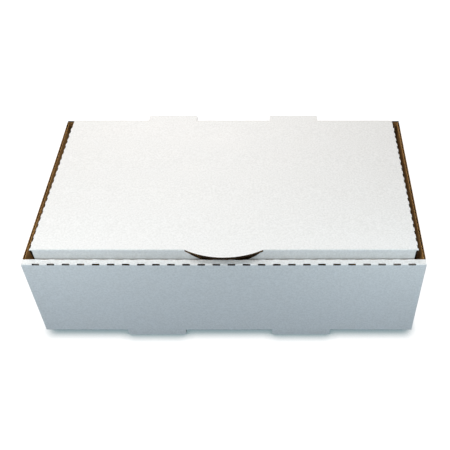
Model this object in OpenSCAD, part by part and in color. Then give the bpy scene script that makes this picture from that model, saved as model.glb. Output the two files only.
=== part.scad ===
// Catering box folded from one die-cut sheet of corrugated board.
// X runs left to right, Y from the front to the back and Z up from the slot tabs that the front stands on.

/* [Board] */
// Thickness of the corrugated board
board_t = 3; // [2:0.1:4.5]
// Outside radius of a creased fold
crease_r = 1.6; // [0.6:0.1:1.9]
// Air between two layers of board that lie against each other
layer_gap = 0.3; // [0.2:0.05:0.8]

/* [Tray] */
// Outside width over the side walls
box_w = 512; // [440:1:700]
// Outside depth from the front wall to the back wall
box_d = 292; // [220:1:420]
// Height of the walls above the underside of the bottom
wall_h = 141; // [100:1:220]
// Length of the ears that turn in from the ends of the side walls
ear_l = 100; // [60:1:110]
// Radius of the free corners of the ears
ear_r = 14; // [4:1:25]
// Air at each end of the inner front panel
inner_gap = 1.5; // [0.5:0.1:4]

/* [Front lock] */
// Width of each slot tab below the front wall
lug_w = 81; // [50:1:100]
// Distance of the middle of a slot tab from the middle of the box
lug_x = 101; // [70:1:110]
// Radius of the lower corners of the slot tabs
lug_r = 4; // [1:0.5:8]
// Air behind a lock tab in its slot
slot_gap = 0.9; // [0.4:0.1:3]
// Air at each end of a lock tab in its slot
lock_gap = 1.5; // [0.5:0.1:4]
// Reach of the lock tabs below the underside of the bottom
lock_reach = 4; // [1:0.5:7]

/* [Perforated folds] */
// Length of each cut in the front folds
front_cut = 9.5; // [5:0.5:12]
// Length of board left between two cuts of the front folds
front_tie = 9.5; // [5:0.5:12]
// Plain length at each end of the front folds
front_margin = 13; // [4:1:30]
// Length of each cut in the side folds of the lid
lid_cut = 6.35; // [4:0.05:10]
// Length of board left between two cuts of the side folds
lid_tie = 6.35; // [4:0.05:10]
// Plain length at each end of the side folds
lid_margin = 1; // [1:0.5:20]
// Width to which a cut opens on the outside of its fold
slit_w = 2.6; // [0.8:0.1:3]
// Width of a cut on the inside of its fold
slit_in = 0.5; // [0.3:0.1:0.7]

/* [Lid] */
// Air between a side wall and the lid
side_gap = 7; // [4:0.5:15]
// Air between the inner front panel and the tuck flap
tuck_gap = 3.9; // [3:0.1:10]
// Angle at which the lid stands open
ajar = 2; // [0:0.1:15]
// Air under the closed lid
rest_gap = 0.3; // [0.2:0.05:1]
// Depth of the tuck flap below the lid
tuck_h = 44; // [25:1:50]
// Angle by which the tuck flap leans in from the front wall
tuck_lean = 4; // [3:0.5:8]
// Radius of the lower corners of the tuck flap
tuck_r = 16; // [4:1:22]
// Depth of the dust flaps below the lid
dust_h = 42; // [20:1:50]
// Distance by which each end of a dust flap is cut back at its lower edge
dust_cut = 12; // [6:1:25]
// Distance of the dust flaps from the front edge of the lid
dust_front = 1; // [0.5:0.5:10]
// Distance of the dust flaps from the rear crease
dust_rear = 16; // [14:1:40]

/* [Thumb tab] */
// Width of the half-moon thumb tab
thumb_w = 99; // [60:1:130]
// Reach of the thumb tab in front of the lid's front edge
thumb_reach = 13.2; // [8:0.1:20]

/* [Rear crease] */
// Width of each rear tab
tab_w = 74; // [40:1:100]
// Distance of the middle of a rear tab from the middle of the box
tab_x = 93; // [60:1:100]
// Reach of the rear tabs behind the back wall
tab_reach = 9.5; // [5:0.5:15]
// Radius of the outer corners of the rear tabs
tab_r = 3; // [1:0.5:4.5]
// Air round a rear tab in its window
window_gap = 0.5; // [0.3:0.1:2]
// Bare length of the crushed crease on each side of its pivot
crease_gap = 0.25; // [0.2:0.05:0.5]
// Slope of the crushed board on the inside of the crease
crease_in = 45; // [45:1:55]
// Slope of the crushed board on the outside of the crease
crease_out = 60; // [55:1:65]

/* [Hidden] */
$fn = 64;

// Spare length of a cut past the face that it leaves
over = 1;

// The front wall is three layers deep, and each slot tab is as long as the slot that it was cut from.
front_stack = 3 * board_t + 2 * layer_gap;
slot_d = front_stack + slot_gap;
lug_drop = slot_d;

// Heights of the underside, the inside of the bottom and the rim of the walls
under_z = lug_drop;
floor_z = under_z + board_t;
rim_z = under_z + wall_h;

// The lid closes between the side walls, with its underside just above the rim.
inside_w = box_w - 2 * board_t;
inner_w = inside_w - 2 * inner_gap;
lid_w = inside_w - 2 * side_gap;
lid_y = front_stack + tuck_gap;
lid_under_z = rim_z + rest_gap;
lid_top_z = lid_under_z + board_t;
tuck_w = lid_w - 2 * (board_t + layer_gap);
thumb_r = (thumb_w * thumb_w / 4 + thumb_reach * thumb_reach) / (2 * thumb_reach);

// The rear crease turns about the middle of the board's thickness.
hinge_y = box_d - board_t / 2;
hinge_z = lid_under_z + board_t / 2;
crush_in = board_t / 2 * tan(crease_in);
crush_out = board_t / 2 * tan(crease_out);
tab_l = box_d + tab_reach - hinge_y;
tab_sweep = sqrt(tab_l * tab_l + board_t * board_t / 4);
window_z = hinge_z - tab_sweep - window_gap;

// The box is centred front to back on the space from its front face to the ends of its rear tabs.
front_y = -(box_d + tab_reach) / 2;

// Turns an outline in Y and Z into a run of board along X.
module along_x(length) {
    rotate([90, 0, 90]) linear_extrude(length, center = true) children();
}

// Turns an outline in X and Z into a plate that starts at Y = start.
module along_y(start, length) {
    translate([0, start + length, 0]) rotate([90, 0, 0]) linear_extrude(length) children();
}

module both_sides() {
    for (side = [0, 1]) mirror([side, 0, 0]) children();
}

// What a rounded fold loses at an outside corner at the origin, with the board towards +X and +Y
module fold_corner() {
    difference() {
        translate([-over, -over]) square(crease_r + over);
        translate([crease_r, crease_r]) circle(crease_r);
    }
}

// Tab that stands along +Y on the origin, with two round free corners
module tab_outline(width, reach, radius) {
    translate([-width / 2, 0]) square([width, reach - radius]);
    translate([radius - width / 2, 0]) square([width - 2 * radius, reach]);
    for (side = [-1, 1]) translate([side * (width / 2 - radius), reach - radius]) circle(radius);
}

// One opened cut through a fold whose outside corner is at the origin, with the board towards +X and -Y
module slit_outline() {
    fold_t = board_t * sqrt(2) + slit_in;
    rotate(-45) polygon([
        [-over, -slit_w / 2],
        [0, -slit_w / 2],
        [fold_t, -slit_in / 2],
        [fold_t, slit_in / 2],
        [0, slit_w / 2],
        [-over, slit_w / 2]
    ]);
}

// Repeats its child at the middle of each cut of a perforated fold that starts at 0.
module perforation(length, margin, cut, tie) {
    count = floor((length - 2 * margin + tie) / (cut + tie));
    first = (length - (count - 1) * (cut + tie)) / 2;
    for (i = [0 : count - 1]) translate([first + i * (cut + tie), 0, 0]) children();
}

// Section of the front wall, the bottom and the back wall
module base_section() {
    difference() {
        union() {
            translate([0, under_z]) square([board_t, wall_h]);
            translate([0, under_z]) square([box_d, board_t]);
            translate([box_d - board_t, under_z]) square([board_t, wall_h]);
        }
        translate([0, under_z]) fold_corner();
        translate([box_d, under_z]) mirror([1, 0]) fold_corner();
    }
}

// Section of the narrow strip over the front wall and the inner panel that hangs from it
module roll_section(reach_z) {
    difference() {
        union() {
            translate([0, rim_z - board_t]) square([front_stack, board_t]);
            translate([front_stack - board_t, reach_z]) square([board_t, rim_z - reach_z]);
        }
        translate([0, rim_z]) mirror([0, 1]) fold_corner();
        translate([front_stack, rim_z]) rotate(180) fold_corner();
    }
}

// Front wall, bottom and back wall, with the slots of the front lock and the windows of the rear tabs
module base_run() {
    difference() {
        along_x(box_w) base_section();
        both_sides() along_y(-over, box_d + 2 * over) translate([-box_w / 2, under_z]) fold_corner();
        translate([0, 0, rim_z]) mirror([0, 0, 1]) along_x(box_w + over) fold_corner();
        both_sides() translate([lug_x - lug_w / 2, board_t, under_z - over])
            cube([lug_w, slot_d - board_t, board_t + 2 * over]);
        translate([-lid_w / 2, box_d - board_t - over, crease_foot_z()])
            cube([lid_w, board_t + 2 * over, wall_h]);
        rear_windows();
    }
}

function crease_foot_z() = hinge_z - crease_gap - crush_out;

module rear_windows() {
    both_sides() translate([tab_x - tab_w / 2 - window_gap, box_d - board_t - over, window_z])
        cube([tab_w + 2 * window_gap, board_t + 2 * over, wall_h]);
}

// Crushed upper edge of the back wall, where it turns into the lid
module wall_crease() {
    difference() {
        along_x(lid_w) polygon([
            [box_d - board_t, crease_foot_z() - over],
            [box_d, crease_foot_z() - over],
            [box_d, crease_foot_z()],
            [hinge_y, hinge_z - crease_gap],
            [box_d - board_t, hinge_z - crease_gap - crush_in]
        ]);
        rear_windows();
    }
}

// Rolled-over front: the strip is as wide as the box, and the inner panel fits between the side walls.
module rolled_front() {
    difference() {
        union() {
            along_x(box_w) roll_section(rim_z - board_t);
            along_x(inner_w) roll_section(floor_z + layer_gap);
            both_sides() translate([lug_x, 0, 0]) along_y(front_stack - board_t, board_t)
                translate([0, floor_z + board_t]) mirror([0, 1])
                    tab_outline(lug_w - 2 * lock_gap, 2 * board_t + lock_reach, lock_reach / 2);
        }
        inner_slits();
    }
}

module outer_slits() {
    translate([-box_w / 2, 0, rim_z]) perforation(box_w, front_margin, front_cut, front_tie)
        along_x(front_cut) slit_outline();
}

module inner_slits() {
    translate([-inner_w / 2, front_stack, rim_z]) perforation(inner_w, front_margin, front_cut, front_tie)
        along_x(front_cut) mirror([1, 0]) slit_outline();
}

// Side wall with its raw upper edge, let in under the front strip, and the ears at both ends
module side_wall() {
    wall_y = board_t + layer_gap;
    wall_l = box_d - 2 * wall_y;
    ear_low_z = floor_z + layer_gap;
    ear_h = rim_z - board_t - layer_gap - ear_low_z;
    difference() {
        union() {
            translate([box_w / 2 - board_t, wall_y, floor_z]) cube([board_t, wall_l, wall_h - board_t]);
            for (ear_y = [wall_y, wall_y + wall_l - board_t])
                along_y(ear_y, board_t) translate([box_w / 2, ear_low_z + ear_h / 2]) rotate(90)
                    tab_outline(ear_h, ear_l, ear_r);
        }
        translate([box_w / 2, wall_y, floor_z + layer_gap]) linear_extrude(wall_h) mirror([1, 0]) fold_corner();
        translate([box_w / 2, wall_y + wall_l, floor_z + layer_gap]) linear_extrude(wall_h) rotate(180)
            fold_corner();
        translate([box_w / 2 - board_t - over, 0, rim_z - board_t - layer_gap])
            cube([board_t + 2 * over, front_stack + layer_gap, board_t + layer_gap + over]);
    }
}

// Slot tab in the plane of the front wall, pointing down
module front_lug() {
    translate([lug_x, 0, 0]) along_y(0, board_t) translate([0, floor_z]) mirror([0, 1])
        tab_outline(lug_w, floor_z, lug_r);
}

module tray() {
    color("whitesmoke") translate([0, front_y, 0]) {
        difference() {
            union() {
                base_run();
                rolled_front();
            }
            outer_slits();
        }
        wall_crease();
        both_sides() side_wall();
        both_sides() front_lug();
    }
}

// Part of the thumb tab's disc in front of a straight edge at Y = 0
module thumb_outline(root) {
    intersection() {
        translate([0, thumb_r - thumb_reach]) circle(thumb_r, $fn = 128);
        translate([-thumb_w / 2, -thumb_reach]) square([thumb_w, thumb_reach + root]);
    }
}

// Top panel with its rounded front fold and its crushed rear edge
module top_panel() {
    along_x(lid_w) difference() {
        polygon([
            [lid_y, lid_under_z],
            [hinge_y - crease_gap - crush_in, lid_under_z],
            [hinge_y - crease_gap, hinge_z],
            [hinge_y - crease_gap - crush_out, lid_top_z],
            [lid_y, lid_top_z]
        ]);
        translate([lid_y, lid_top_z]) mirror([0, 1]) fold_corner();
    }
    translate([0, lid_y, lid_under_z]) linear_extrude(board_t) thumb_outline(2 * crease_r);
    both_sides() translate([tab_x, hinge_y - tab_l, lid_under_z]) linear_extrude(board_t)
        tab_outline(tab_w, 2 * tab_l, tab_r);
}

// Tuck flap with the opening that the thumb tab was cut from
module tuck_flap() {
    difference() {
        translate([0, lid_y, lid_under_z]) rotate([tuck_lean - 90, 0, 0]) linear_extrude(board_t)
            difference() {
                translate([0, -board_t / 2]) tab_outline(tuck_w, board_t / 2 + tuck_h, tuck_r);
                translate([0, -board_t]) mirror([0, 1]) thumb_outline(0);
            }
        translate([-lid_w / 2, lid_y - board_t, lid_under_z - tuck_h]) cube([lid_w, board_t, 2 * tuck_h]);
    }
}

// Dust flap along one side of the lid, narrower at its lower edge
module dust_flap() {
    start = lid_y + dust_front;
    end = hinge_y - dust_rear;
    translate([(lid_w - board_t) / 2, 0, 0]) along_x(board_t) polygon([
        [start, lid_top_z],
        [end, lid_top_z],
        [end, lid_under_z],
        [end - dust_cut / 2, lid_under_z - dust_h + dust_cut],
        [end - 1.5 * dust_cut, lid_under_z - dust_h],
        [start + 1.5 * dust_cut, lid_under_z - dust_h],
        [start + dust_cut / 2, lid_under_z - dust_h + dust_cut],
        [start, lid_under_z]
    ]);
}

module lid_slits() {
    fold_l = hinge_y - lid_y;
    translate([lid_w / 2, lid_y, lid_top_z]) rotate([0, 0, 90])
        perforation(fold_l, lid_margin, lid_cut, lid_tie) along_x(lid_cut) slit_outline();
}

module lid() {
    color("white") translate([0, front_y + hinge_y, hinge_z]) rotate([-ajar, 0, 0])
        translate([0, -hinge_y, -hinge_z]) difference() {
            union() {
                top_panel();
                tuck_flap();
                both_sides() dust_flap();
            }
            both_sides() along_y(lid_y - over, hinge_y - lid_y + 2 * over)
                translate([-lid_w / 2, lid_top_z]) mirror([0, 1]) fold_corner();
            both_sides() lid_slits();
        }
}

tray();
lid();
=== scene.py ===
"""Looks of the catering box: white-lined corrugated board with open, fluted edges."""

import math

import bmesh
import bpy
from mathutils import Matrix, Vector, noise


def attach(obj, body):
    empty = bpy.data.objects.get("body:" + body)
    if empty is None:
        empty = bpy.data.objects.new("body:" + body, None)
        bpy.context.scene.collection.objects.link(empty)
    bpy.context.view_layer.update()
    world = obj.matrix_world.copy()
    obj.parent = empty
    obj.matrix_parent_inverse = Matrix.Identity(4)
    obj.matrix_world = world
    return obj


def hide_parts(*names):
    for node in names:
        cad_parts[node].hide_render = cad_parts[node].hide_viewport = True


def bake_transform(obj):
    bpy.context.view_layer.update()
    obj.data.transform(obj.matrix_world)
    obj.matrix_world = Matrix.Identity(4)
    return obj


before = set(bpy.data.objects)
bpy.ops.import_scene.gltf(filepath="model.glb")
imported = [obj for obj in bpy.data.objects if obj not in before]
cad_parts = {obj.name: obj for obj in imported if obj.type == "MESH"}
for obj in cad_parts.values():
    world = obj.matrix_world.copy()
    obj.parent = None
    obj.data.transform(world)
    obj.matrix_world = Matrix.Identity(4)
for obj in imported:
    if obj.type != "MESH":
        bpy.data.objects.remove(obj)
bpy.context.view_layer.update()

# Driving sizes of the folded sheet in millimetres and degrees, as in the part's source
BOARD = 3.0
LAYER_GAP = 0.3
BOX_W = 512.0
BOX_D = 292.0
WALL_H = 141.0
EAR_L = 100.0
INNER_GAP = 1.5
LUG_W = 81.0
LUG_X = 101.0
SLOT_GAP = 0.9
LOCK_GAP = 1.5
LOCK_REACH = 4.0
SIDE_GAP = 7.0
TUCK_GAP = 3.9
TUCK_LEAN = 4.0
REST_GAP = 0.3
AJAR = 2.0
DUST_REAR = 16.0
THUMB_W = 99.0
TAB_W = 74.0
TAB_X = 93.0
TAB_REACH = 9.5
CREASE_GAP = 0.25

# Places on the sheet: X from the middle, Y from the front face, Z from the feet of the slot tabs
HALF_W = BOX_W / 2
FRONT_STACK = 3 * BOARD + 2 * LAYER_GAP
LUG_DROP = FRONT_STACK + SLOT_GAP
UNDER_Z = LUG_DROP
FLOOR_Z = UNDER_Z + BOARD
RIM_Z = UNDER_Z + WALL_H
WALL_Y = BOARD + LAYER_GAP
REAR_EAR_Y = BOX_D - WALL_Y
EAR_TOP_Z = RIM_Z - WALL_Y
EAR_END = HALF_W - EAR_L
LOCK_LOW_Z = UNDER_Z - LOCK_REACH - LOCK_GAP
HALF_LID = HALF_W - BOARD - SIDE_GAP
HALF_TUCK = HALF_LID - WALL_Y
LID_Y = FRONT_STACK + TUCK_GAP
LID_UNDER_Z = RIM_Z + REST_GAP
LID_TOP_Z = LID_UNDER_Z + BOARD
HINGE_Y = BOX_D - BOARD / 2
HINGE_Z = LID_UNDER_Z + BOARD / 2
DUST_END_Y = HINGE_Y - DUST_REAR
FRONT_Y = -(BOX_D + TAB_REACH) / 2

# The board itself: two liners and a fluted medium that bites a little into both
LINER = 0.4
MEDIUM = 0.24
FLUTE_PITCH = 6.5
FLUTE_STEPS = 12
FLUTE_BITE = 0.01
CORE = (LINER, BOARD - LINER)

# Opening under the thumb tab: its depth below the lid's top, as in the photograph, and its steps and gap
THUMB_DEPTH = 27.0
THUMB_STEPS = 48
THUMB_CEILING = 0.02

# How far the board is opened between its liners from each kind of cut edge
END_OPEN = 12.0
INNER_OPEN = 16.0
LUG_OPEN = 11.5
LOCK_OPEN = 10.5
SLOT_SIDE = 10.0
WINDOW_OPEN = 20.5
WALL_OPEN = 14.5
EAR_OPEN = 17.0
EAR_TOP_OPEN = 17.5
TAB_OPEN = 18.5
TAB_PAST = 14.0
CORNER_OPEN = 14.0
CORNER_GAP = 0.7
CORNER_REAR = 4.5
THUMB_OPEN = 10.5
TUCK_OPEN = 50.0

# Height below the lower edges of the lid's flaps
FLAP_LOW_Z = 100.0

# Distances that an opening keeps from folds, creases and the sides of tabs, and runs past a free edge
FOLD_CLEAR = 0.5
CREASE_CLEAR = 5.5
CREASE_SIDE = 3.5
TAB_INSET = 1.0
LOCK_INSET = 0.7
THUMB_INSET = 1.5
MID_GAP = LAYER_GAP / 2
NEAR = 0.1
PAST = 5.0

# Room round a panel in which faces are taken for its own, and how far they may miss its planes
ROOM = 1.0
TUCK_ROOM = 8.0
ROLL_ROOM = 2.0
OFF_PLANE = 0.02
OFF_LAYER = 0.06
FOLD_DEPTH = 2.0
SLIT_DEPTH = 4.4
FLAT_COSINE = 0.97
FOLD_COSINE = 0.1
END_COSINE = 0.3

# Cells and bowing of the panels, and tolerances of the mesh work
GRID = 18.0
BOW = 0.5
BOW_LENGTH = 260.0
BOW_FADE = 70.0
BOW_SEED = 5
MERGE = 0.002
SLICE_SNAP = 0.0005
FLAT_ANGLE = 0.005
SHARP_ANGLE = 28.0

# Liner over the rear crease, and the length of the crushed board that it covers on each side
CRUSH = 2.6
SKIN = 0.3
SKIN_LIFT = 0.02
SKIN_LAP = 0.4
SKIN_STEPS = 10

X, Y, Z = range(3)
WHITE, KRAFT, CUT, INSIDE = range(4)
CUT_END, WAVE_SIDE = range(2)


def turned(degrees):
    """Turn about X."""
    return Matrix.Rotation(math.radians(degrees), 4, "X")


TRAY_PLACE = Matrix.Scale(0.001, 4) @ Matrix.Translation((0, FRONT_Y, 0))
HINGE = Matrix.Translation((0, HINGE_Y, HINGE_Z))
LID_PLACE = TRAY_PLACE @ HINGE @ turned(-AJAR) @ HINGE.inverted()
# Tuck flap's own axes: X along the fold, Y down the flap, Z from its white face inwards
TUCK_PLACE = Matrix.Translation((0, LID_Y, LID_UNDER_Z)) @ turned(TUCK_LEAN - 90)


def around(middle, half):
    """Range with the given middle."""
    return (middle - half, middle + half)


def core(start, sign=1):
    """Range of the space between the liners of a board whose white face is at start."""
    return tuple(sorted(start + sign * depth for depth in CORE))


def slab(start, sign=1, outside=ROOM):
    """Range across a board whose white face is at start, with a little room on both sides."""
    return tuple(sorted((start - sign * outside, start + sign * (BOARD + NEAR))))


def mirrored(box):
    """The same box on the other side of the middle."""
    return ((-box[X][1], -box[X][0]), box[Y], box[Z])


def within(point, box, room=0.0):
    """True if a point lies in a box, or no further outside than room."""
    return all(low - room <= value <= high + room for value, (low, high) in zip(point, box))


class Zone:
    """A stretch of board along a cut edge, opened between its liners and filled with flutes."""

    def __init__(self, box, flute, cross, cuts=None, place=None):
        self.box = box
        self.flute = flute
        self.cross = cross
        self.thick = X + Y + Z - flute - cross
        self.cuts = cuts or [box]
        self.place = place or Matrix.Identity(4)

    def other_side(self):
        cuts = [mirrored(cut) for cut in self.cuts]
        return Zone(mirrored(self.box), self.flute, self.cross, cuts, self.place)


def both(zones):
    """Each zone and its twin on the other side."""
    return [twin for zone in zones for twin in (zone, zone.other_side())]


def tray_zones():
    """Opened stretches along the cut edges of the tray."""
    front = core(0)
    strip = core(RIM_Z, -1)
    inner = core(FRONT_STACK, -1)
    bottom = core(UNDER_Z)
    back = core(BOX_D, -1)
    side = core(HALF_W, -1)
    rear_ear = core(REAR_EAR_Y, -1)
    end = (HALF_W - END_OPEN, HALF_W + PAST)
    fold_low = FLOOR_Z + FOLD_CLEAR
    free_low = FLOOR_Z + MID_GAP
    roll_low = RIM_Z - BOARD - FOLD_CLEAR
    crease_low = RIM_Z - CREASE_CLEAR
    wall_low = RIM_Z - WALL_OPEN
    high = RIM_Z + PAST
    front_walls = [
        Zone((end, front, (fold_low, roll_low)), X, Z),
        Zone((end, (BOARD + FOLD_CLEAR, FRONT_STACK - BOARD - FOLD_CLEAR), strip), X, Y),
        Zone(((HALF_W - INNER_OPEN, HALF_W - BOARD - INNER_GAP / 2), inner, (free_low, roll_low)), X, Z),
    ]

    lug_x = around(LUG_X, LUG_W / 2 + PAST)
    lug_top = UNDER_Z - FOLD_CLEAR
    lug_high = UNDER_Z + LUG_OPEN
    lock_x = around(LUG_X, LUG_W / 2 - LOCK_INSET)
    slot_x = around(LUG_X, LUG_W / 2 + SLOT_SIDE)
    front_lock = [
        Zone((lug_x, front, (-PAST, lug_high)), X, Z, [
            (lug_x, front, (-PAST, lug_top)),
            (around(LUG_X, LUG_W / 2 - TAB_INSET), front, (lug_top - NEAR, lug_high)),
        ]),
        Zone((lock_x, inner, (LOCK_LOW_Z, FLOOR_Z + LOCK_OPEN)), X, Z),
        Zone((slot_x, (1.5 * BOARD, LUG_DROP + LUG_OPEN), bottom), X, Y),
    ]

    window_x = around(TAB_X, TAB_W / 2 + SLOT_SIDE)
    back_wall = [
        Zone((end, back, (fold_low, high)), X, Z, [
            (end, back, (fold_low, crease_low)),
            ((HALF_LID + CREASE_SIDE, HALF_W + PAST), back, (crease_low - NEAR, high)),
        ]),
        Zone((window_x, back, (RIM_Z - WINDOW_OPEN, crease_low)), X, Z),
    ]

    wall_y = (FRONT_STACK + MID_GAP, REAR_EAR_Y + MID_GAP)
    ear_fold_y = REAR_EAR_Y - BOARD - FOLD_CLEAR
    ear_split = EAR_END + EAR_OPEN
    ear_fold_x = HALF_W - BOARD - FOLD_CLEAR - NEAR
    side_walls = [
        Zone((side, wall_y, (wall_low, high)), Z, Y, [
            (side, (wall_y[0], ear_fold_y), (wall_low, high)),
            (side, (ear_fold_y - NEAR, wall_y[1]), (EAR_TOP_Z + NEAR, high)),
        ]),
        Zone(((EAR_END - PAST, ear_split), rear_ear, (free_low, high)), Z, X),
        Zone(((ear_split, ear_fold_x), rear_ear, (RIM_Z - EAR_TOP_OPEN, high)), Z, X),
    ]
    return both(front_walls + front_lock + back_wall + side_walls)


def lid_zones():
    """Opened stretches along the cut edges of the lid."""
    top = core(LID_TOP_Z, -1)
    side = core(HALF_LID, -1)
    tab_x = around(TAB_X, TAB_W / 2 + PAST)
    tab_y = (HINGE_Y - TAB_OPEN, BOX_D + TAB_PAST)
    corner_x = (HALF_LID - CORNER_OPEN, HALF_LID + PAST)
    corner_y = (DUST_END_Y + CORNER_GAP, HINGE_Y - CORNER_REAR)
    dust_y = (LID_Y - PAST, HINGE_Y - CREASE_CLEAR)
    thumb_x = around(0, THUMB_W / 2 - THUMB_INSET)
    tuck_x = around(0, HALF_TUCK + MID_GAP)
    return both([
        Zone((tab_x, tab_y, top), X, Y, [
            (around(TAB_X, TAB_W / 2 - TAB_INSET), tab_y, top),
            (tab_x, (HINGE_Y + FOLD_CLEAR, tab_y[1]), top),
        ]),
        Zone((corner_x, corner_y, top), X, Y),
        Zone((side, dust_y, (FLAP_LOW_Z, LID_UNDER_Z - FOLD_CLEAR)), Z, Y),
    ]) + [
        Zone((thumb_x, (-PAST, LID_Y + THUMB_OPEN), top), X, Y),
        Zone((tuck_x, (FOLD_CLEAR, TUCK_OPEN), CORE), X, Y, place=TUCK_PLACE),
    ]


def box_mesh(box, place):
    """Closed box as a bmesh."""
    middle = [(low + high) / 2 for low, high in box]
    size = [high - low for low, high in box]
    bm = bmesh.new()
    bmesh.ops.create_cube(bm, size=1)
    bm.transform(place @ Matrix.Translation(middle) @ Matrix.Diagonal((*size, 1)))
    return bm


def thumb_opening():
    """Half-moon that is cut from the tuck flap under the thumb tab, up to the lid's underside."""
    radius = (THUMB_W ** 2 / 4 + THUMB_DEPTH ** 2) / (2 * THUMB_DEPTH)
    centre = THUMB_DEPTH - BOARD - radius
    reach = math.acos((THUMB_CEILING - centre) / radius)
    bm = bmesh.new()
    rings = []
    for inward in (-PAST, BOARD + PAST):
        ring = []
        for i in range(THUMB_STEPS + 1):
            turn = reach * (2 * i / THUMB_STEPS - 1)
            point = Vector((radius * math.sin(turn), centre + radius * math.cos(turn), inward))
            ring.append(bm.verts.new(TUCK_PLACE @ point))
        for corner in (ring[0], ring[-1]):
            corner.co.z = LID_UNDER_Z - THUMB_CEILING
        rings.append(ring)
    outer, inner = rings
    bm.faces.new(outer)
    bm.faces.new(reversed(inner))
    for i in range(len(outer)):
        bm.faces.new((outer[i - 1], outer[i], inner[i], inner[i - 1]))
    bmesh.ops.recalc_face_normals(bm, faces=bm.faces)
    return bm


def flute_mesh(bm, zone):
    """Adds the fluted medium of one zone to bm as a closed wavy sheet."""
    low, high = zone.box[zone.cross]
    thick = zone.box[zone.thick]
    middle = sum(thick) / 2
    height = (thick[1] - thick[0] - MEDIUM) / 2 + FLUTE_BITE
    count = max(2, round((high - low) / FLUTE_PITCH * FLUTE_STEPS))
    rows = []
    for i in range(count + 1):
        across = low + (high - low) * i / count
        wave = middle + height * math.sin(2 * math.pi * across / FLUTE_PITCH)
        row = []
        for lift in (-MEDIUM / 2, MEDIUM / 2):
            for along in zone.box[zone.flute]:
                point = [0, 0, 0]
                point[zone.cross] = across
                point[zone.thick] = wave + lift
                point[zone.flute] = along
                row.append(bm.verts.new(zone.place @ Vector(point)))
        rows.append(row)
    sheet = []
    for a, b in zip(rows, rows[1:]):
        for i, j in ((0, 1), (1, 3), (3, 2), (2, 0)):
            sheet.append(bm.faces.new((a[i], a[j], b[j], b[i])))
    sheet.append(bm.faces.new([rows[0][i] for i in (0, 2, 3, 1)]))
    sheet.append(bm.faces.new([rows[-1][i] for i in (0, 1, 3, 2)]))
    bmesh.ops.recalc_face_normals(bm, faces=sheet)


def as_object(bm, name):
    mesh = bpy.data.meshes.new(name)
    bm.to_mesh(mesh)
    bm.free()
    obj = bpy.data.objects.new(name, mesh)
    bpy.context.scene.collection.objects.link(obj)
    return obj


def combined(bm, others, operation):
    """bm after a boolean with each of the other meshes in turn."""
    helpers = [as_object(other, "helper") for other in others]
    base = as_object(bm, "base")
    for helper in helpers:
        modifier = base.modifiers.new("cut", "BOOLEAN")
        modifier.operation = operation
        modifier.solver = "MANIFOLD"
        modifier.object = helper
    bpy.context.view_layer.update()
    graph = bpy.context.evaluated_depsgraph_get()
    mesh = bpy.data.meshes.new_from_object(base.evaluated_get(graph))
    result = bmesh.new()
    result.from_mesh(mesh)
    for obj in helpers + [base]:
        bpy.data.objects.remove(obj)
    return result


def cad_copy(node, place):
    """A CAD node's mesh in millimetres of the folded sheet."""
    bm = bmesh.new()
    bm.from_mesh(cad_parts[node].data)
    bm.transform(place.inverted())
    bmesh.ops.remove_doubles(bm, verts=bm.verts, dist=MERGE)
    bmesh.ops.recalc_face_normals(bm, faces=bm.faces)
    return bm


def slice_grid(bm, extra=((), (), ())):
    """Splits the flat faces into cells that can bow a little, and at extra planes across each axis."""
    bmesh.ops.dissolve_limit(bm, angle_limit=FLAT_ANGLE, verts=bm.verts, edges=bm.edges)
    places = [[v.co[axis] for v in bm.verts] for axis in (X, Y, Z)]
    for axis in (X, Y, Z):
        low, high = min(places[axis]), max(places[axis])
        steps = max(1, round((high - low) / GRID))
        planes = [low + (high - low) * i / steps for i in range(1, steps)]
        direction = Vector([1 if i == axis else 0 for i in (X, Y, Z)])
        for level in (*planes, *extra[axis]):
            bmesh.ops.bisect_plane(
                bm,
                geom=bm.verts[:] + bm.edges[:] + bm.faces[:],
                dist=SLICE_SNAP,
                plane_co=direction * level,
                plane_no=direction,
            )


def bow(bm):
    """Bows the board slightly, the same way for every layer in the same place, and less near the hinge."""
    noise.seed_set(BOW_SEED)
    for v in bm.verts:
        from_hinge = math.hypot(v.co.y - HINGE_Y, v.co.z - HINGE_Z)
        share = min(1, from_hinge / BOW_FADE)
        v.co += share * BOW * noise.noise_vector(v.co / BOW_LENGTH)


class Face:
    """One flat panel of the sheet: its white plane, where it is, and the axis across its flutes."""

    def __init__(self, outward, point, box, cross):
        self.outward = Vector(outward)
        self.level = self.outward.dot(Vector(point))
        self.box = box
        self.cross = cross

    def holds(self, centre):
        return within(centre, self.box)

    def depth(self, centre):
        return self.level - self.outward.dot(centre)

    def miss(self, centre, normal):
        """How badly a mesh face fits this panel: outside its box, or turned away from its plane."""
        outside = sum(max(low - value, value - high, 0) for value, (low, high) in zip(centre, self.box))
        return outside - abs(normal.dot(self.outward))


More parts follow.
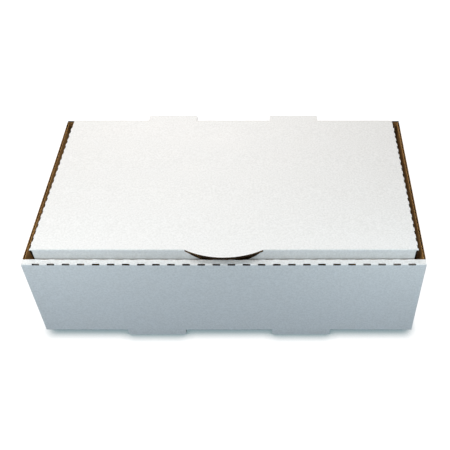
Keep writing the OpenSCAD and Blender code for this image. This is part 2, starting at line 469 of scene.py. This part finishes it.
def tray_faces():
    """Panels of the tray, and its folds: two panels each, and what the board between them shows."""
    wide = around(0, HALF_W + ROOM)
    high = (UNDER_Z - NEAR, RIM_Z + BOARD)
    rim = RIM_Z + ROOM
    back_y = slab(BOX_D, -1)
    crease_z = (RIM_Z - CREASE_CLEAR - ROOM, HINGE_Z)
    front = Face((0, -1, 0), (0, 0, 0), (wide, slab(0), (-ROOM, rim)), Z)
    strip = Face((0, 0, 1), (0, 0, RIM_Z), (wide, (-ROOM, FRONT_STACK + ROOM), slab(RIM_Z, -1)), Y)
    inner_box = (wide, slab(FRONT_STACK, -1, 2 * NEAR), (LOCK_LOW_Z, rim))
    inner = Face((0, 1, 0), (0, FRONT_STACK, 0), inner_box, Z)
    bottom = Face((0, 0, -1), (0, 0, UNDER_Z), (wide, (-ROOM, BOX_D + ROOM), slab(UNDER_Z)), Y)
    back = Face((0, 1, 0), (0, BOX_D, 0), (wide, back_y, high), Z)
    crease = Face((0, 0, 1), (0, 0, HINGE_Z), (around(0, HALF_LID), back_y, crease_z), Z)
    faces = [front, strip, inner, bottom, back]
    folds = [
        (front, strip, INSIDE),
        (strip, inner, CUT),
        (front, bottom, INSIDE),
        (bottom, back, INSIDE),
        (back, crease, INSIDE),
    ]
    for side in (-1, 1):
        wall_box = (slab(side * HALF_W, -side), (WALL_Y - NEAR, REAR_EAR_Y + NEAR), high)
        wall = Face((side, 0, 0), (side * HALF_W, 0, 0), wall_box, Y)
        ear_x = tuple(sorted((side * (EAR_END - ROOM), side * (HALF_W + ROOM))))
        front_ear = Face((0, -1, 0), (0, WALL_Y, 0), (ear_x, slab(WALL_Y, 1, NEAR), high), X)
        rear_ear = Face((0, 1, 0), (0, REAR_EAR_Y, 0), (ear_x, slab(REAR_EAR_Y, -1, NEAR), high), X)
        faces += [wall, front_ear, rear_ear]
        folds += [(wall, other, INSIDE) for other in (bottom, front_ear, rear_ear)]
    return faces, folds


def lid_faces():
    """Panels and folds of the lid, in the same form as the tray's."""
    wide = around(0, HALF_LID + ROOM)
    high = LID_TOP_Z + ROOM
    top = Face((0, 0, 1), (0, 0, LID_TOP_Z), (wide, (-ROOM, BOX_D + TAB_PAST), slab(LID_TOP_Z, -1)), Y)
    tuck_out = TUCK_PLACE.to_3x3() @ Vector((0, 0, -1))
    tuck_x = around(0, HALF_TUCK + MID_GAP)
    tuck_box = (tuck_x, (LID_Y - ROOM, LID_Y + TUCK_ROOM), (FLAP_LOW_Z, high))
    tuck = Face(tuck_out, (0, LID_Y, LID_UNDER_Z), tuck_box, Z)
    roll_box = (wide, (LID_Y - ROOM, LID_Y + ROLL_ROOM), (LID_UNDER_Z - ROOM, high))
    roll = Face((0, -1, 0), (0, LID_Y, 0), roll_box, Z)
    crease_box = (wide, (HINGE_Y - PAST, HINGE_Y), (HINGE_Z - NEAR, high))
    crease = Face((0, 1, 0), (0, HINGE_Y, 0), crease_box, Y)
    faces = [top, tuck]
    folds = [(top, roll, INSIDE), (top, crease, INSIDE)]
    for side in (-1, 1):
        flap_box = (slab(side * HALF_LID, -side), (LID_Y, DUST_END_Y + FOLD_CLEAR), (FLAP_LOW_Z, high))
        flap = Face((side, 0, 0), (side * HALF_LID, 0, 0), flap_box, Y)
        faces.append(flap)
        folds.append((top, flap, INSIDE))
    return faces, folds


def side_of_board(faces, folds, centre, normal):
    """Which surface of the board a face shows, and True if it lies on the round of a fold."""
    other = CUT
    for *pair, between in folds:
        parts = [normal.dot(panel.outward) for panel in pair]
        depths = [panel.depth(centre) for panel in pair]
        near = all(panel.holds(centre) for panel in pair) and max(depths) < FOLD_DEPTH
        if near and min(parts) > -OFF_PLANE and sum(parts) > FLAT_COSINE:
            return WHITE, min(parts) > FOLD_COSINE
        if min(depths) > OFF_PLANE and max(depths) < SLIT_DEPTH and abs(centre.x) < HALF_W - NEAR:
            other = between
    for panel in faces:
        turn = normal.dot(panel.outward)
        depth = panel.depth(centre)
        if not panel.holds(centre) or abs(turn) < FLAT_COSINE:
            continue
        if turn > 0 and abs(depth) < OFF_LAYER:
            return WHITE, False
        if turn < 0 and abs(depth - BOARD) < OFF_LAYER:
            return KRAFT, False
        if min(abs(depth - level) for level in CORE) < OFF_LAYER:
            return INSIDE, False
    return other, False


def sort_faces(bm, faces, folds):
    """Gives each face its side of the board, and each corner its place across the flutes."""
    across = bm.loops.layers.float.new("flute")
    worn = bm.verts.layers.float.new("fold")
    for face in bm.faces:
        centre = face.calc_center_median()
        face.material_index, on_fold = side_of_board(faces, folds, centre, face.normal)
        face.smooth = True
        if on_fold:
            for v in face.verts:
                v[worn] = 1.0
        nearest = min(faces, key=lambda panel: panel.miss(centre, face.normal))
        for loop in face.loops:
            loop[across] = loop.vert.co[nearest.cross]


def sort_flutes(bm, zones):
    """Tells the cut ends of the fluted medium from the sides of its waves."""
    spaces = [(zone, zone.place.inverted()) for zone in zones]
    for face in bm.faces:
        face.smooth = True
        face.material_index = CUT_END
        for zone, inward in spaces:
            if within(inward @ face.calc_center_median(), zone.box, NEAR / 2):
                along = (inward.to_3x3() @ face.normal)[zone.flute]
                face.material_index = CUT_END if abs(along) > END_COSINE else WAVE_SIDE


def finish_mesh(bm, place, name):
    """Turns a bmesh in millimetres into an object in the part's frame."""
    bow(bm)
    bm.transform(place)
    bm.normal_update()
    obj = as_object(bm, name)
    obj.data.set_sharp_from_angle(angle=math.radians(SHARP_ANGLE))
    modifier = obj.modifiers.new("normals", "WEIGHTED_NORMAL")
    modifier.keep_sharp = True
    return obj


def board_pieces(node, place, zones, sheet, splits, openings=()):
    """The liners of a CAD node, opened along its cut edges, and the flutes between them."""
    solid = combined(cad_copy(node, place), openings, "DIFFERENCE")
    cutters = [box_mesh(cut, zone.place) for zone in zones for cut in zone.cuts]
    liners = combined(solid.copy(), cutters, "DIFFERENCE")
    slice_grid(liners, splits)
    sort_faces(liners, *sheet)
    medium = bmesh.new()
    for zone in zones:
        flute_mesh(medium, zone)
    medium = combined(medium, [solid], "INTERSECT")
    slice_grid(medium)
    sort_flutes(medium, zones)
    return finish_mesh(liners, place, node + "_board"), finish_mesh(medium, place, node + "_flutes")


def tray_pieces():
    splits = (
        around(0, HALF_W - BOARD),
        (BOARD + MID_GAP, BOX_D - BOARD - MID_GAP, FRONT_STACK + NEAR / 2),
        (FLOOR_Z, RIM_Z - BOARD),
    )
    return board_pieces("tray", TRAY_PLACE, tray_zones(), tray_faces(), splits)


def lid_pieces():
    splits = (
        around(0, HALF_LID - BOARD),
        (LID_Y + BOARD, DUST_END_Y + NEAR),
        (LID_UNDER_Z,),
    )
    return board_pieces("lid", LID_PLACE, lid_zones(), lid_faces(), splits, [thumb_opening()])


def crease_skin():
    """White liner over the rear crease, in the three stretches between the rear tabs."""
    foot = HINGE_Z - CREASE_GAP - CRUSH - SKIN_LAP
    lid_end = HINGE_Y - CREASE_GAP - CRUSH - SKIN_LAP
    size = SKIN_STEPS + 1
    section = []
    for lift in (SKIN_LIFT, SKIN_LIFT - SKIN):
        for i in range(size):
            turn = math.pi / 2 * i / SKIN_STEPS
            y = lid_end + (BOX_D - lid_end + lift) * math.cos(turn)
            z = foot + (LID_TOP_Z - foot + lift) * math.sin(turn)
            section.append((y, z))
    outline = list(range(size)) + list(range(2 * size - 1, size - 1, -1))
    tab_near, tab_far = around(TAB_X, TAB_W / 2 + TAB_INSET)
    lid_side = HALF_LID - SKIN_LAP
    bm = bmesh.new()
    across = bm.loops.layers.float.new("flute")
    bm.verts.layers.float.new("fold")
    for low, high in ((-lid_side, -tab_far), (-tab_near, tab_near), (tab_far, lid_side)):
        count = round((high - low) / GRID)
        rows = []
        for j in range(count + 1):
            along = low + (high - low) * j / count
            rows.append([bm.verts.new((along, y, z)) for y, z in section])
        for a, b in zip(rows, rows[1:]):
            for i, j in zip(outline, outline[1:] + outline[:1]):
                face = bm.faces.new((a[i], b[i], b[j], a[j]))
                face.material_index = WHITE if i < size and j < size else KRAFT
        for row in (rows[0], rows[-1]):
            face = bm.faces.new([row[i] for i in outline])
            face.material_index = KRAFT
    bmesh.ops.recalc_face_normals(bm, faces=bm.faces)
    for face in bm.faces:
        face.smooth = True
        for corner in face.loops:
            corner[across] = corner.vert.co.z
    start = TRAY_PLACE @ Vector((0, BOX_D, foot))
    end = TRAY_PLACE @ Vector((0, lid_end, LID_TOP_Z))
    return finish_mesh(bm, TRAY_PLACE, "rear_crease"), start, end


tray_board, tray_flutes = tray_pieces()
lid_board, lid_flutes = lid_pieces()
rear_crease, crease_start, crease_end = crease_skin()


class Tree:
    """Short way to write a material's nodes."""

    def __init__(self, name):
        self.material = bpy.data.materials.new(name)
        self.material.use_nodes = True
        self.nodes = self.material.node_tree.nodes
        self.links = self.material.node_tree.links
        self.shader = self.nodes["Principled BSDF"]

    def add(self, kind, inputs=None, **settings):
        node = self.nodes.new(kind)
        for key, value in settings.items():
            setattr(node, key, value)
        for key, value in (inputs or {}).items():
            self.put(node.inputs[key], value)
        return node

    def put(self, socket, value):
        if isinstance(value, bpy.types.NodeSocket):
            self.links.new(value, socket)
        else:
            socket.default_value = value

    def place(self):
        return self.add("ShaderNodeTexCoord").outputs["Object"]

    def noise(self, scale, detail=4.0, rough=0.55, stretch=(1, 1, 1)):
        scaled = self.add("ShaderNodeMapping", {"Vector": self.place(), "Scale": stretch})
        inputs = {"Vector": scaled.outputs[0], "Scale": scale, "Detail": detail, "Roughness": rough}
        return self.add("ShaderNodeTexNoise", inputs).outputs["Fac"]

    def math(self, operation, a, b=0.0, clamp=False):
        node = self.add("ShaderNodeMath", {0: a, 1: b}, operation=operation, use_clamp=clamp)
        return node.outputs[0]

    def span(self, value, low, high, out_low=0.0, out_high=1.0):
        """Value from low to high, spread from out_low to out_high."""
        node = self.add("ShaderNodeMapRange", {"Value": value, "From Min": low, "From Max": high})
        self.put(node.inputs["To Min"], out_low)
        self.put(node.inputs["To Max"], out_high)
        return node.outputs["Result"]

    def mix(self, amount, a, b):
        node = self.add("ShaderNodeMix", data_type="RGBA")
        self.put(node.inputs[0], amount)
        self.put(node.inputs[6], a)
        self.put(node.inputs[7], b)
        return node.outputs[2]

    def tinted(self, colour, pattern, low, high, most, tint):
        """Colour with a share of a tint that grows up to most as the pattern goes from low to high."""
        return self.mix(self.span(pattern, low, high, 0, most), colour, tint)

    def attribute(self, name):
        return self.add("ShaderNodeAttribute", attribute_name=name).outputs["Fac"]

    def bump(self, height, distance, strength=1.0, under=None):
        inputs = {"Height": height, "Distance": distance, "Strength": strength}
        if under is not None:
            inputs["Normal"] = under
        return self.add("ShaderNodeBump", inputs).outputs["Normal"]

    def washboard(self):
        """Waves of the flutes as they show through a liner, from -1 to 1."""
        turn = self.math("MULTIPLY", self.attribute("flute"), 2 * math.pi / FLUTE_PITCH)
        return self.math("SINE", turn)


def white_liner():
    tree = Tree("white_liner")
    clouds = tree.noise(30, detail=5)
    fibres = tree.noise(800, detail=6, rough=0.75, stretch=(0.4, 1, 1))
    specks = tree.noise(1500, detail=2)
    scuffs = tree.noise(22, detail=8, rough=0.75, stretch=(1, 2.2, 1.6))
    mottle = tree.noise(420, detail=3, rough=0.7)
    worn = tree.math("MULTIPLY", tree.attribute("fold"), tree.span(fibres, 0.45, 0.72), clamp=True)
    colour = tree.mix(tree.span(clouds, 0.3, 0.7), (0.852, 0.845, 0.832, 1), (0.868, 0.864, 0.856, 1))
    colour = tree.tinted(colour, mottle, 0.36, 0.64, 0.5, (0.61, 0.605, 0.59, 1))
    colour = tree.tinted(colour, fibres, 0.3, 0.75, 0.30, (0.68, 0.665, 0.635, 1))
    colour = tree.tinted(colour, specks, 0.70, 0.78, 0.25, (0.50, 0.42, 0.32, 1))
    colour = tree.tinted(colour, scuffs, 0.63, 0.80, 0.06, (0.62, 0.61, 0.59, 1))
    colour = tree.mix(tree.math("MULTIPLY", worn, 0.35), colour, (0.58, 0.50, 0.40, 1))
    tree.put(tree.shader.inputs["Base Color"], colour)
    tree.put(tree.shader.inputs["Roughness"], tree.span(clouds, 0.25, 0.75, 0.50, 0.62))
    tree.put(tree.shader.inputs["Specular IOR Level"], 0.32)
    waves = tree.bump(tree.washboard(), 0.00002, 0.6)
    tree.put(tree.shader.inputs["Normal"], tree.bump(fibres, 0.00006, 0.35, waves))
    return tree.material


def scaled(colour, factor):
    """Colour made lighter or darker."""
    return (*(min(1, factor * part) for part in colour), 1)


def kraft_liner(name, light, dark):
    tree = Tree(name)
    clouds = tree.noise(40, detail=5)
    fibres = tree.noise(700, detail=7, rough=0.72, stretch=(0.3, 1, 1))
    hairs = tree.noise(420, detail=3, stretch=(0.15, 1.4, 1.4))
    specks = tree.noise(1300, detail=2)
    colour = tree.mix(tree.span(clouds, 0.3, 0.7), scaled(dark, 1), scaled(light, 1))
    colour = tree.tinted(colour, fibres, 0.35, 0.75, 0.45, scaled(dark, 0.62))
    colour = tree.tinted(colour, hairs, 0.58, 0.70, 0.35, scaled(light, 1.35))
    colour = tree.tinted(colour, specks, 0.68, 0.76, 0.5, (0.12, 0.07, 0.03, 1))
    tree.put(tree.shader.inputs["Base Color"], colour)
    tree.put(tree.shader.inputs["Roughness"], tree.span(fibres, 0.3, 0.7, 0.68, 0.86))
    tree.put(tree.shader.inputs["Specular IOR Level"], 0.25)
    waves = tree.bump(tree.washboard(), 0.00004, 0.7)
    tree.put(tree.shader.inputs["Normal"], tree.bump(fibres, 0.0001, 0.5, waves))
    return tree.material


white = white_liner()
kraft = kraft_liner("kraft_liner", (0.39, 0.215, 0.075), (0.32, 0.168, 0.054))
fluting = kraft_liner("kraft_medium", (0.72, 0.39, 0.12), (0.56, 0.28, 0.075))
cut_edge = kraft_liner("kraft_cut_edge", (0.60, 0.325, 0.105), (0.42, 0.205, 0.058))
# The lid's raw edges get a much darker copy of the cut edge's kraft: painted shade
lid_edge_painted_shade = kraft_liner("kraft_lid_edge_painted_shade", (0.09, 0.042, 0.013), (0.05, 0.023, 0.007))
# The sides of the flute waves are near black: painted shade in the hollows between the liners
flute_hollow_painted_shade = kraft_liner("kraft_flute_hollow_painted_shade", (0.03, 0.011, 0.003), (0.015, 0.006, 0.002))
# Slit walls and the liners' inner faces in the opened hollows are near black: painted shade
slit_and_hollow_painted_shade = kraft_liner("kraft_slit_and_hollow_painted_shade", (0.02, 0.009, 0.003), (0.01, 0.005, 0.002))

# In the order of WHITE, KRAFT, CUT and INSIDE, and for the flutes of CUT_END and WAVE_SIDE; the lid's CUT,
# the INSIDE slots and WAVE_SIDE hold darker or near-black copies of kraft that are painted shade
for piece, materials in (
    (tray_board, (white, kraft, cut_edge, slit_and_hollow_painted_shade)),
    (lid_board, (white, kraft, lid_edge_painted_shade, slit_and_hollow_painted_shade)),
    (rear_crease, (white, kraft, cut_edge, slit_and_hollow_painted_shade)),
    (tray_flutes, (fluting, flute_hollow_painted_shade)),
    (lid_flutes, (fluting, flute_hollow_painted_shade)),
):
    for material in materials:
        piece.data.materials.append(material)

for piece, body, slot in (
    (tray_board, "tray", "white_board"),
    (tray_flutes, "tray", "kraft_board"),
    (lid_board, "lid", "white_board"),
    (lid_flutes, "lid", "kraft_board"),
):
    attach(piece, body)
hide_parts("tray")
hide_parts("lid")
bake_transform(rear_crease)


def sees_background(nodes, links):
    """Socket that is 1 for rays that show the plain background, 0 for rays that only carry its light."""
    path = nodes.new("ShaderNodeLightPath")
    seen = path.outputs["Is Camera Ray"]
    for kind in ("Is Glossy Ray", "Is Transmission Ray"):
        either = nodes.new("ShaderNodeMath")
        either.operation = "MAXIMUM"
        links.new(seen, either.inputs[0])
        links.new(path.outputs[kind], either.inputs[1])
        seen = either.outputs[0]
    return seen


def table_top():
    """White table top that the slot tabs and the rear lower fold stand on, shaded where they touch it."""
    front = TRAY_PLACE @ Vector((0, 0, 0))
    rear = TRAY_PLACE @ Vector((0, BOX_D, UNDER_Z))
    lean = math.atan2(rear.z - front.z, rear.y - front.y)
    bpy.ops.mesh.primitive_plane_add(size=12, location=front, rotation=(lean, 0, 0))
    obj = bpy.context.object
    obj.name = "table_top"
    tree = Tree("table_top")
    tree.nodes.remove(tree.shader)
    contact = tree.add("ShaderNodeAmbientOcclusion", {"Distance": 0.016}, samples=16)
    shade = tree.span(contact.outputs["AO"], 0.54, 0.985)
    tint = tree.mix(shade, (0.20, 0.28, 0.30, 1), (1, 1, 1, 1))
    glow = tree.add("ShaderNodeEmission", {"Color": tint, "Strength": 1.0})
    grain = tree.mix(tree.noise(3, detail=3), (0.10, 0.10, 0.10, 1), (0.11, 0.11, 0.11, 1))
    lit = tree.add("ShaderNodeBsdfDiffuse", {"Color": grain})
    seen = tree.add("ShaderNodeAddShader", {0: glow.outputs[0], 1: lit.outputs[0]})
    bounce = tree.add("ShaderNodeBsdfDiffuse", {"Color": (0.12, 0.19, 0.27, 1)})
    amount = sees_background(tree.nodes, tree.links)
    mixed = tree.add("ShaderNodeMixShader", {0: amount, 1: bounce.outputs[0], 2: seen.outputs[0]})
    tree.put(tree.nodes["Material Output"].inputs["Surface"], mixed.outputs[0])
    obj.data.materials.append(tree.material)


def area_light(name, place, target, size, power, colour):
    data = bpy.data.lights.new(name, "AREA")
    data.shape = "DISK"
    data.size = size
    data.energy = power
    data.color = colour
    obj = bpy.data.objects.new(name, data)
    obj.location = place
    obj.rotation_euler = (Vector(target) - Vector(place)).to_track_quat("-Z", "Y").to_euler()
    bpy.context.scene.collection.objects.link(obj)


def lights():
    """Cool lights from the front, warmer ones from above, behind and both sides, in metres and watts."""
    middle = (0, -0.05, 0.1)
    low_middle = (0, 0, 0.08)
    front_left = (-0.16, -0.15, 0.08)
    front_right = (0.16, -0.15, 0.08)
    cool = (0.80, 0.93, 1.0)
    area_light("key", (-0.75, -0.95, 1.4), middle, 0.55, 9.8, (0.92, 0.965, 0.99))
    area_light("near_left", (-0.28, -0.42, 0.34), front_left, 0.16, 0.52, cool)
    area_light("near_right", (0.31, -0.42, 0.34), front_right, 0.16, 0.68, cool)
    area_light("top", (0, 0.1, 1.6), middle, 0.6, 5.5, (1.0, 0.97, 0.945))
    area_light("rear", (-0.2, 1.2, 0.9), middle, 0.8, 11.0, (1.0, 0.963, 0.935))
    area_light("left", (-1.2, 0, 0.9), middle, 0.6, 4.6, (1.0, 0.95, 0.905))
    area_light("right", (1.35, 0.1, 0.34), low_middle, 0.5, 5.0, (1.0, 0.97, 0.94))


def room():
    """Cool, even light from the room, white where the camera looks past the table."""
    world = bpy.data.worlds.new("room")
    world.use_nodes = True
    bpy.context.scene.world = world
    nodes = world.node_tree.nodes
    links = world.node_tree.links
    walls = nodes["Background"]
    walls.inputs["Color"].default_value = (0.80, 0.92, 1.0, 1)
    walls.inputs["Strength"].default_value = 0.06
    clear = nodes.new("ShaderNodeBackground")
    clear.inputs["Color"].default_value = (1, 1, 1, 1)
    mixed = nodes.new("ShaderNodeMixShader")
    links.new(sees_background(nodes, links), mixed.inputs[0])
    links.new(walls.outputs[0], mixed.inputs[1])
    links.new(clear.outputs[0], mixed.inputs[2])
    links.new(mixed.outputs[0], nodes["World Output"].inputs["Surface"])


def camera():
    """Camera of the photograph: level, square to the box, and framed off its optical axis."""
    data = bpy.data.cameras.new("camera")
    data.sensor_width = 36
    data.lens = 55.87
    data.shift_x = -0.111
    looks_down = 46.29
    obj = bpy.data.objects.new("camera", data)
    obj.location = (0.0644, -0.72245, 0.82206)
    obj.rotation_euler = (math.radians(90 - looks_down), 0, 0)
    bpy.context.scene.collection.objects.link(obj)
    bpy.context.scene.camera = obj


table_top()
lights()
room()
camera()
bpy.context.scene.view_settings.view_transform = "Standard"
